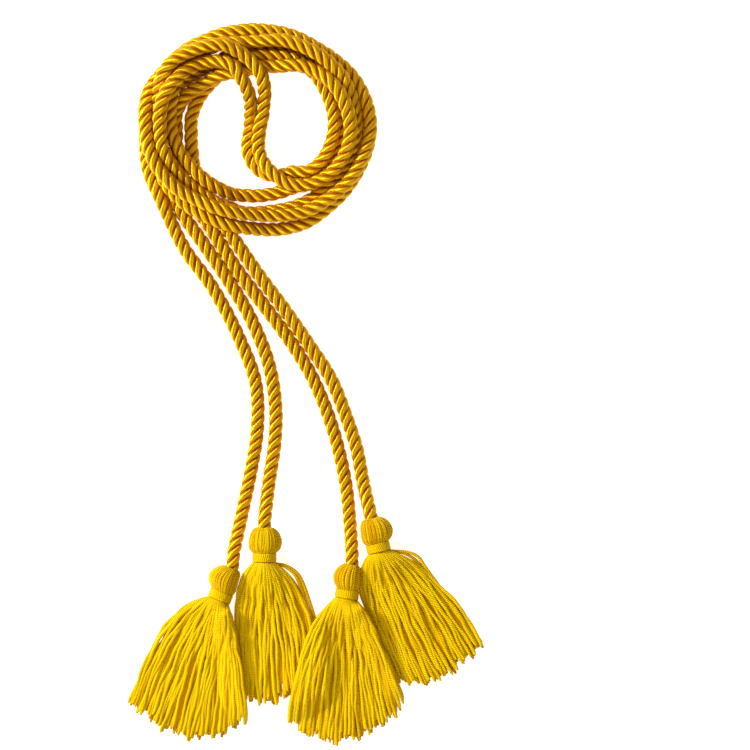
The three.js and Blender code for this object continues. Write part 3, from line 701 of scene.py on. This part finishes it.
def yarnMaterial():
    material, tree, shader = newMaterial("tasselYarn")
    place = attributeNode(tree, "strandPlace")["Vector"]
    parts = addNode(tree, "ShaderNodeSeparateXYZ", {"Vector": place}).outputs
    phase = mathNode(tree, "MULTIPLY", parts["Z"], 2 * math.pi / yarn["ribPitch"])
    ribs = mathNode(
        tree, "ADD",
        mathNode(tree, "MULTIPLY", mathNode(tree, "SINE", phase), parts["X"]),
        mathNode(tree, "MULTIPLY", mathNode(tree, "COSINE", phase), parts["Y"]),
    )
    # the shade value paints shade: yarns that lie low are darker, and random tone is mixed in besides
    shade = attributeNode(tree, "shade")["Fac"]
    colour = rampNode(tree, shade, [(0.0, yarn["deepShade"]), (1.0, yarn["colour"])])
    # painted shade in the hollows between the ribs, fading out towards their tops
    ribHeight = mathNode(tree, "MULTIPLY_ADD", ribs, 0.5, 0.5)
    hollow = rampNode(tree, ribHeight, [(0.0, yarn["hollow"]), (yarn["hollowEnd"], white)])
    feed(tree, shader, {
        "Base Color": tintNode(tree, colour, hollow, 1.0),
        "Normal": bumpNode(tree, ribs, yarn["relief"], yarn["ribDepth"]),
        "Roughness": yarn["roughness"],
        "Specular IOR Level": yarn["specular"],
        "Specular Tint": (*yarn["specularTint"], 1),
        "Sheen Weight": yarn["sheen"],
        "Sheen Roughness": yarn["sheenRoughness"],
        "Sheen Tint": (*yarn["sheenTint"], 1),
    })
    return material


ropeSatin = satinMaterial()
tasselYarn = yarnMaterial()
strands = strandTree()
twist = ropeTree()


def makeRope(index, name):
    line = evenly(smoothCurve(ropeLines[index], ply["spanPoints"]), ply["step"])
    settings = {label: value for label, _, value in plySockets}
    return grown(guideMesh(name, [line]), twist, {**settings, "Material": ropeSatin})


ropePieces = []
for index, letter in enumerate("ab"):
    piece = makeRope(index, "twistedRope" + letter.upper())
    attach(piece, "root")
    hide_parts("rope_" + letter)
    ropePieces.append(piece)
print("ropes twisted:", [len(p.data.polygons) for p in ropePieces], "faces")


# Skirts: every yarn runs from the binding to the hem inside the skirt's own form. The section has rows of
# share of the length, how far its top has come down to the hem's height, and fill, 1 for a round edge.
skirtSections = [
    (0.0, 0.0, 1.0), (0.05, -0.38, 0.95), (0.13, -0.42, 0.88), (0.25, -0.11, 0.8), (0.4, 0.28, 0.72),
    (0.57, 0.57, 0.66), (0.75, 0.8, 0.62), (0.9, 0.94, 0.6), (1.0, 1.0, 0.6),
]


def smoothstep(value, low, high):
    share = np.clip((value - low) / (high - low), 0, 1)
    return share * share * (3 - 2 * share)


def bezier(points, share):
    rest = 1 - share
    weights = [rest ** 3, 3 * rest ** 2 * share, 3 * rest * share ** 2, share ** 3]
    return sum(weight[..., None] * np.array(point) for weight, point in zip(weights, points))


def skirtPlan(piece, across, share):
    # x and y of points at a share of the yarn's length, across from -1, the left edge, to 1
    neck = tassel["neckDiameter"] / 2 / tassel["skirtLength"]
    left = bezier([(-neck, 0), *piece["left"]], share)
    middle = bezier([(0, 0), *piece["middle"]], share)
    right = bezier([(neck, 0), *piece["right"]], share)
    a = across[..., None]
    spread = left * a * (a - 1) / 2 + middle * (1 - a * a) + right * a * (a + 1) / 2
    spread = spread * tassel["skirtLength"]
    reach = tassel["headLength"] + tassel["bindingLength"]
    along = (reach + spread[..., 1])[..., None]
    return topOf(piece) + along * headingOf(piece) + spread[..., :1] * sideOf(piece)


def skirtHeights(share, across=0.0):
    # the skirt's middle height, half its height, and the share of it that is left so far across
    at = [row[0] for row in skirtSections]
    fall = np.interp(share, at, [row[1] for row in skirtSections])
    fill = np.interp(share, at, [row[2] for row in skirtSections])
    height = tassel["neckDiameter"] + (tassel["hemHeight"] - tassel["neckDiameter"]) * fall
    sink = smoothstep(share, 0, tassel["sinkEnd"])
    half = (height + sink * tassel["pressedFlat"]) / 2
    headRadius = tassel["headDiameter"] / 2
    centre = headRadius + (height - half - headRadius) * sink
    return centre, half, np.maximum(1 - across ** 2, 0) ** (fill / 2)


def topsBelow(piece):
    # close points of the upper sides of the skirts that this one lies on
    share, across = np.meshgrid(
        np.linspace(0, 1, lap["rows"]), np.linspace(-1, 1, lap["columns"]), indexing="ij"
    )
    centre, half, rim = skirtHeights(share, across)
    found = [np.zeros((0, 3))]
    for other in tassels:
        if other["name"] in piece["liesOn"]:
            plan = skirtPlan(other, across, share).reshape(-1, 2)
            found.append(np.column_stack([plan, (centre + half * rim).ravel()]))
    return np.vstack(found)


# How a skirt climbs on the tassels below it
lap = {
    "gap": 0.6 * mm,
    "reach": 2 * mm,  # how far beside the tassel below it keeps its height
    "slope": 0.6,  # how fast it comes down again further out
    "start": 0.02,  # share of the skirt's length at which it starts to climb
    "full": 0.15,  # and at which it has climbed
    "rows": 60,  # of points on the skirt below
    "columns": 41,
    "block": 512,  # places worked out at a time
}


def lapLift(below, plan, share):
    # how high the tassels below lift a skirt at these places
    found = np.zeros(len(plan))
    if len(below):
        for first in range(0, len(plan), lap["block"]):
            block = plan[first:first + lap["block"]]
            apart = np.linalg.norm(block[:, None] - below[None, :, :2], axis=2)
            rise = below[None, :, 2] + lap["gap"] - lap["slope"] * np.maximum(apart - lap["reach"], 0)
            found[first:first + lap["block"]] = np.maximum(rise.max(axis=1), 0)
    return found * smoothstep(share, lap["start"], lap["full"])


# How the yarns lie in a skirt, with places across from -1 to 1 and the rest in shares of its length
locks = {
    "widest": 0.84,  # skirt, which holds acrossTop yarns side by side
    "jitter": 0.38,  # of a yarn's place, as a share of its room
    "edge": 0.985,
    "reach": 0.968,
    "reachScatter": 0.018,
    "tuftReach": 0.017,  # in and out at the hem
    "fineTufts": 31,  # radians across
    "broadTufts": 13,
    "broadShare": 0.6,
    "rowPhase": 1.9,  # from one row to the next
    # neighbours drift together and apart: size, radians across and along, start and full share
    "drifts": [(0.035, 11, 2.2, 0.05, 0.8), (0.02, 23, -3, 0.1, 0.7)],
    "thickness": 0.08,  # scatter of it
    "neckEnd": 0.3,  # where a yarn has got its full thickness
    "fray": 0.03,
    "weaves": (6, 14),  # radians along
    "weaveFull": 0.25,
    "wavers": [(48, 0.6), (21, 0.26), (9, 0.08)],  # length and size in mm
    "waverStart": 0.02,
    "waverFull": 0.45,
    "shade": 0.45,
    "shadeRise": 0.35,  # for yarns that lie high
    "shadeScatter": 0.3,
}


def neckWidth(share):
    # of a yarn, as a share of its full width
    return yarn["neckShare"] + (1 - yarn["neckShare"]) * smoothstep(share, 0, locks["neckEnd"])


def anyPhase(draw):
    return draw.uniform(0, 2 * math.pi)


def around(draw, size):
    return draw.uniform(-size, size)


def yarnLines(piece, draw):
    below = topsBelow(piece)
    widest = abs(piece["left"][2][0]) + abs(piece["right"][2][0])
    count = round(yarn["acrossTop"] * widest / locks["widest"])
    finePhase, broadPhase, lanePhase = [anyPhase(draw) for _ in range(3)]
    lines, thick, shades = [], [], []
    for row in range(yarn["rows"]):
        level = 1 - 2 * row / (yarn["rows"] - 1)
        inRow = count - row % 2
        for i in range(inRow):
            across = -1 + 2 * (i + 0.5 + around(draw, locks["jitter"])) / inRow
            across = max(-locks["edge"], min(locks["edge"], across))
            tuft = math.sin(locks["fineTufts"] * across + finePhase)
            tuft += locks["broadShare"] * math.sin(locks["broadTufts"] * across + broadPhase)
            reach = locks["reach"] + around(draw, locks["reachScatter"]) + locks["tuftReach"] * tuft
            share = np.linspace(0, reach, yarn["points"])
            rowPhase = lanePhase + locks["rowPhase"] * row
            drift = np.zeros(len(share))
            for size, sideways, lengthways, start, full in locks["drifts"]:
                wave = np.sin(sideways * across + lengthways * share + rowPhase)
                drift += size * wave * smoothstep(share, start, full)
            lane = across + drift * (1 - across ** 2)
            plan = skirtPlan(piece, lane, share)
            centre, half, rim = skirtHeights(share, lane)
            radius = yarn["diameter"] / 2 * (1 + around(draw, locks["thickness"]))
            frayed = yarn["frayed"] * smoothstep(share, reach - locks["fray"], reach)
            width = radius * neckWidth(share) * (1 - frayed)
            # it weaves over and under its neighbours
            weave = yarn["weave"] * np.sin(draw.uniform(*locks["weaves"]) * share + anyPhase(draw))
            lifted = level + weave * smoothstep(share, 0, locks["weaveFull"])
            height = centre + (half - width) * np.clip(lifted, -1, 1) * rim
            # its own waver
            way = np.gradient(plan, axis=0)
            way /= np.linalg.norm(way, axis=1)[:, None]
            side = np.column_stack([-way[:, 1], way[:, 0]])
            along = share * tassel["skirtLength"]
            waver = np.zeros(len(share))
            for length, size in locks["wavers"]:
                waver += size * mm * np.sin(2 * math.pi * along / (length * mm) + anyPhase(draw))
            waver *= smoothstep(share, locks["waverStart"], locks["waverFull"])
            plan = plan + side * waver[:, None]
            height = lapLift(below, plan, share) + np.maximum(height, width)
            lines.append(np.column_stack([plan, height]))
            thick.append(width)
            # painted shade: yarns that lie low get the darker colour, with random tone besides
            shade = locks["shade"] + locks["shadeRise"] * lifted + around(draw, locks["shadeScatter"])
            shades.append(np.clip(shade, 0, 1))
    for stray in piece.get("strays", []):
        plan = smoothCurve(np.array(stray) * mm, rope["spanPoints"])
        along = alongOf(plan)
        share = np.linspace(0, 1, yarn["points"])
        plan = np.stack([np.interp(share, along / along[-1], plan[:, k]) for k in range(2)], axis=1)
        width = yarn["diameter"] / 2 * neckWidth(share)
        lines.append(np.column_stack([plan, np.maximum(skirtHeights(share)[0], width)]))
        thick.append(width)
        shades.append(np.full(len(share), draw.random()))
    return lines, thick, shades


def yarnBody(name, points, faces):
    # a smooth body that fills the room under the single yarns; it carries no shade value, so it takes the
    # yarn's darkest colour, painted shade
    mesh = bpy.data.meshes.new(name)
    mesh.from_pydata(points, [], faces)
    for polygon in mesh.polygons:
        polygon.use_smooth = True
    mesh.materials.append(tasselYarn)
    return placed(name, mesh)


# Padding: the yarns deep inside the skirt, as one soft body
padding = {
    "start": 0.01,
    "end": 0.9,
    "edge": 0.9,
    "rows": 26,
    "columns": 19,
    "thickness": 0.4,  # share of the skirt's
}


def paddingBody(name, piece):
    rows, columns = padding["rows"], padding["columns"]
    share = np.linspace(padding["start"], padding["end"], rows)
    across = np.linspace(-padding["edge"], padding["edge"], columns)
    shares, lanes = np.meshgrid(share, across, indexing="ij")
    plan = skirtPlan(piece, lanes, shares).reshape(-1, 2)
    centre, half, rim = skirtHeights(shares, lanes)
    lift = lapLift(topsBelow(piece), plan, shares.ravel())
    thickness = (padding["thickness"] * half * rim).ravel()
    upper = np.column_stack([plan, centre.ravel() + thickness + lift])
    lower = np.column_stack([plan, centre.ravel() - thickness + lift])
    count = rows * columns
    faces = []
    for i in range(rows - 1):
        for j in range(columns - 1):
            a, b = i * columns + j, i * columns + j + 1
            c, d = b + columns, a + columns
            faces.append((a, d, c, b))
            faces.append((count + a, count + b, count + c, count + d))
    edge = list(range(columns))
    edge += [i * columns + columns - 1 for i in range(1, rows)]
    edge += [(rows - 1) * columns + j for j in range(columns - 2, -1, -1)]
    edge += [i * columns for i in range(rows - 2, 0, -1)]
    for a, b in zip(edge, edge[1:] + edge[:1]):
        faces.append((a, b, count + b, count + a))
    return yarnBody(name, np.vstack([upper, lower]).tolist(), faces)


# Head: yarns folded over it, from the rope to under the binding. Its profile has rows of share of its
# length and share of its radius.
headProfile = [
    (0.0, 0.57), (0.08, 0.72), (0.22, 0.87), (0.42, 0.97), (0.62, 1.0), (0.82, 0.94), (0.95, 0.8),
]
head = {
    "yarns": 64,
    "sides": 6,
    "points": 22,
    "start": -0.02,  # share of its length
    "startRadius": 0.42,  # share of its radius
    "end": 1.08,
    "neckStart": 1.1,  # where the yarns are as narrow as the neck
    "neckFlare": 0.08,  # wider than the neck at its end, as a share of its radius
    "scatter": 0.3,  # of a yarn's place, as a share of its room
    "sway": 0.09,  # in radians
    "overlap": 1.35,  # width of a yarn over its room
    "thinnest": 0.2 * mm,
    "outward": (-0.08, 0.12),  # in mm
    "roundFrom": 0.85,  # where it starts to be as wide as high
    "roundAt": 1.05,
}


def headBow(piece, share):
    # how far aside the head bulges at a share of its length
    return piece["bow"] * tassel["headDiameter"] * np.sin(math.pi * np.clip(share, 0, 1))


def headLines(piece, draw):
    headRadius = tassel["headDiameter"] / 2
    neckShare = tassel["neckDiameter"] / tassel["headDiameter"]
    at = [row[0] for row in headProfile] + [1.0, head["neckStart"]]
    radii = [row[1] for row in headProfile] + [neckShare + head["neckFlare"], neckShare]
    share = np.concatenate([[head["start"]], np.linspace(0, head["end"], head["points"])])
    radius = np.interp(share, at, radii)
    radius[0] = head["startRadius"]
    room = math.pi * radius * headRadius / head["yarns"]
    width = np.maximum(room * head["overlap"], head["thinnest"])
    wide = 1 + (piece["wide"] - 1) * (1 - smoothstep(share, head["roundFrom"], head["roundAt"]))
    lines, thick, shades = [], [], []
    for i in range(head["yarns"]):
        angle = 2 * math.pi * (i + around(draw, head["scatter"])) / head["yarns"]
        turn = angle + around(draw, head["sway"]) * np.sin(math.pi * share)
        out = radius * headRadius - width + draw.uniform(*head["outward"]) * mm
        aside = out * wide * np.cos(turn) + headBow(piece, share)
        plan = topOf(piece) + (share * tassel["headLength"])[:, None] * headingOf(piece)
        plan = plan + aside[:, None] * sideOf(piece)
        lines.append(np.column_stack([plan, headRadius + out * np.sin(turn)]))
        thick.append(width)
        shades.append(np.full(len(share), draw.random()))
    return lines, thick, shades


def roundedBody(name, piece, rings):
    # a closed body about the tassel's axis from rows of distance, radius, width over height and bow
    sides = tassel["coreSides"]
    points, faces = [], []
    headRadius = tassel["headDiameter"] / 2
    for along, radius, wide, bow in rings:
        for i in range(sides):
            angle = 2 * math.pi * i / sides
            aside = bow + radius * wide * math.cos(angle)
            plan = topOf(piece) + along * headingOf(piece) + aside * sideOf(piece)
            points.append((*plan, headRadius + radius * math.sin(angle)))
    for ring in range(len(rings) - 1):
        for i in range(sides):
            j = (i + 1) % sides
            here, there = ring * sides, (ring + 1) * sides
            faces.append((here + i, there + i, there + j, here + j))
    faces.append(tuple(range(sides)))
    faces.append(tuple(reversed(range((len(rings) - 1) * sides, len(rings) * sides))))
    return yarnBody(name, points, faces)


def strandPiece(name, lines, thick, shades, sides):
    guide = guideMesh(name, lines, {"thick": thick, "shade": shades})
    return grown(guide, strands, {"Sides": sides, "Material": tasselYarn})


def joined(parts, name):
    bpy.ops.object.select_all(action="DESELECT")
    for part in parts:
        part.select_set(True)
    bpy.context.view_layer.objects.active = parts[0]
    bpy.ops.object.join()
    parts[0].name = name
    parts[0].data.name = name
    return parts[0]


def makeTassel(piece):
    draw = random.Random(yarn["seed"] + piece["number"])
    name = "tassel" + str(piece["number"])
    skirtPiece = strandPiece(name + "Skirt", *yarnLines(piece, draw), yarn["sides"])
    headPiece = strandPiece(name + "Head", *headLines(piece, draw), head["sides"])
    rings = []
    for along, radius in headProfile:
        inside = radius * tassel["headDiameter"] / 2 - tassel["coreDepth"]
        bow = float(headBow(piece, along))
        rings.append((along * tassel["headLength"], inside, piece["wide"], bow))
    neck = tassel["neckDiameter"] / 2 - tassel["neckDepth"]
    rings.append((tassel["headLength"], neck, 1, 0))
    rings.append((tassel["headLength"] + tassel["bindingLength"], neck, 1, 0))
    core = roundedBody(name + "Core", piece, rings)
    filling = paddingBody(name + "Padding", piece)
    whole = joined([skirtPiece, headPiece, core, filling], name + "Yarns")
    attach(whole, "root")
    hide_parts(piece["name"])
    return whole


# Bindings: a thread wound round the neck in one layer
binding = {
    "turns": 10,
    "threadRadius": 0.34 * mm,
    "radius": 6.85 * mm,
    "stepsPerTurn": 44,
    "sides": 8,
    "margin": 0.6 * mm,  # of the neck that the thread leaves free
    "sway": 0.06 * mm,  # along the neck
    "swayWaves": 0.37,  # in a turn
    "swell": 0.05 * mm,
    "swellWaves": 0.81,
    "phases": (0, 6),
    "shade": 0.75,
    "backingEnds": 0.1 * mm,  # how far they stand above the neck
    "backingBevel": 0.2 * mm,
    "seed": 80,
}


def makeBinding(piece):
    draw = random.Random(binding["seed"] + piece["number"])
    name = "binding" + str(piece["number"])
    steps = binding["turns"] * binding["stepsPerTurn"]
    turn = np.arange(steps + 1) / binding["stepsPerTurn"]
    angle = 2 * math.pi * turn
    length = tassel["bindingLength"] - 2 * binding["threadRadius"] - binding["margin"]
    first = tassel["headLength"] + (tassel["bindingLength"] - length) / 2
    sway = binding["sway"] * np.sin(angle * binding["swayWaves"] + draw.uniform(*binding["phases"]))
    swell = binding["swell"] * np.sin(angle * binding["swellWaves"] + draw.uniform(*binding["phases"]))
    along = first + length * turn / binding["turns"] + sway
    out = binding["radius"] + swell
    plan = topOf(piece) + along[:, None] * headingOf(piece)
    plan = plan + (out * np.cos(angle))[:, None] * sideOf(piece)
    line = np.column_stack([plan, tassel["headDiameter"] / 2 + out * np.sin(angle)])
    thick = np.full(len(line), binding["threadRadius"])
    shade = np.full(len(line), binding["shade"])
    wound = strandPiece(name, [line], [thick], [shade], binding["sides"])
    inner = tassel["neckDiameter"] / 2 + binding["backingEnds"]
    bevel = binding["backingBevel"]
    backing = roundedBody(name + "Backing", piece, [
        (first - bevel, inner, 1, 0), (first, binding["radius"], 1, 0),
        (first + length, binding["radius"], 1, 0), (first + length + bevel, inner, 1, 0),
    ])
    whole = joined([wound, backing], name + "Thread")
    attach(whole, "root")
    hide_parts("binding_" + str(piece["number"]))
    return whole


for piece in tassels:
    made = makeTassel(piece)
    band = makeBinding(piece)
    print("made", made.name, len(made.data.polygons), band.name, len(band.data.polygons), "faces")


# Table, light and world
studio = {
    "tableSize": 3.0,
    "tableColour": (0.95, 0.95, 0.94),
    "tableRoughness": 0.9,
    "tableSpecular": 0.1,
    "tableGlow": 0.72,  # a lit table, so that shadows stay pale
    "skyStrength": 0.22,
    "skyColour": (1.0, 0.66, 0.4),  # warm, so that what lies in the shade goes red-brown
    "stripGain": 0.5,  # of the bright strip of sky
    "stripSide": (0.77, 0.64, 0),  # square to the strip
    "stripEdge": 3.0,  # how fast it fades to the sides
    "skySide": (-0.77, 0.64, 0),  # where the whole sky is brightest
    "skyTilt": 0.85,  # how much brighter it is there, and darker opposite
    "keyPower": 88.0,
    "keyPlace": (-2.1, 0.85, 1.35),
    "keySize": 0.62,
    "fillPower": 11.0,
    "fillPlace": (-0.15, -1.15, 1.3),
    "fillSize": 1.2,
}


def makeTable():
    half = studio["tableSize"] / 2
    mesh = bpy.data.meshes.new("table")
    corners = [(-half, -half, 0), (half, -half, 0), (half, half, 0), (-half, half, 0)]
    mesh.from_pydata(corners, [], [(0, 1, 2, 3)])
    material, tree, shader = newMaterial("tableTop")
    feed(tree, shader, {
        "Base Color": (*studio["tableColour"], 1),
        "Roughness": studio["tableRoughness"],
        "Specular IOR Level": studio["tableSpecular"],
        "Emission Color": (*white, 1),
        "Emission Strength": studio["tableGlow"],
    })
    mesh.materials.append(material)
    table = placed("table", mesh)


def makeLight(name, place, power, size):
    light = bpy.data.lights.new(name, "AREA")
    light.energy = power
    light.size = size
    lamp = placed(name, light)
    lamp.location = place
    lamp.rotation_euler = (-Vector(place)).to_track_quat("-Z", "Y").to_euler()


def makeWorld():
    world = bpy.data.worlds.new("studio")
    world.use_nodes = True
    tree = world.node_tree
    direction = addNode(tree, "ShaderNodeTexCoord").outputs["Generated"]
    aside = vectorNode(tree, "DOT_PRODUCT", direction, studio["stripSide"])
    faded = mathNode(tree, "SUBTRACT", 1.0, mathNode(tree, "MULTIPLY", aside, aside))
    strip = mathNode(tree, "POWER", faded, studio["stripEdge"])
    values = {"Factor": strip, "A": (*studio["skyColour"], 1), "B": (*white, 1)}
    colour = addNode(tree, "ShaderNodeMix", values, data_type="RGBA")
    towards = vectorNode(tree, "DOT_PRODUCT", direction, studio["skySide"])
    tilt = mathNode(tree, "MULTIPLY_ADD", towards, studio["skyTilt"], 1.0)
    level = mathNode(tree, "MULTIPLY_ADD", strip, studio["stripGain"], studio["skyStrength"])
    feed(tree, tree.nodes["Background"], {
        "Color": colour.outputs["Result"],
        "Strength": mathNode(tree, "MULTIPLY", level, tilt),
    })
    bpy.context.scene.world = world


makeTable()
makeLight("key", studio["keyPlace"], studio["keyPower"], studio["keySize"])
makeLight("fill", studio["fillPlace"], studio["fillPower"], studio["fillSize"])
makeWorld()
bpy.context.scene.view_settings.view_transform = "Standard"
print("table, lights and world set")
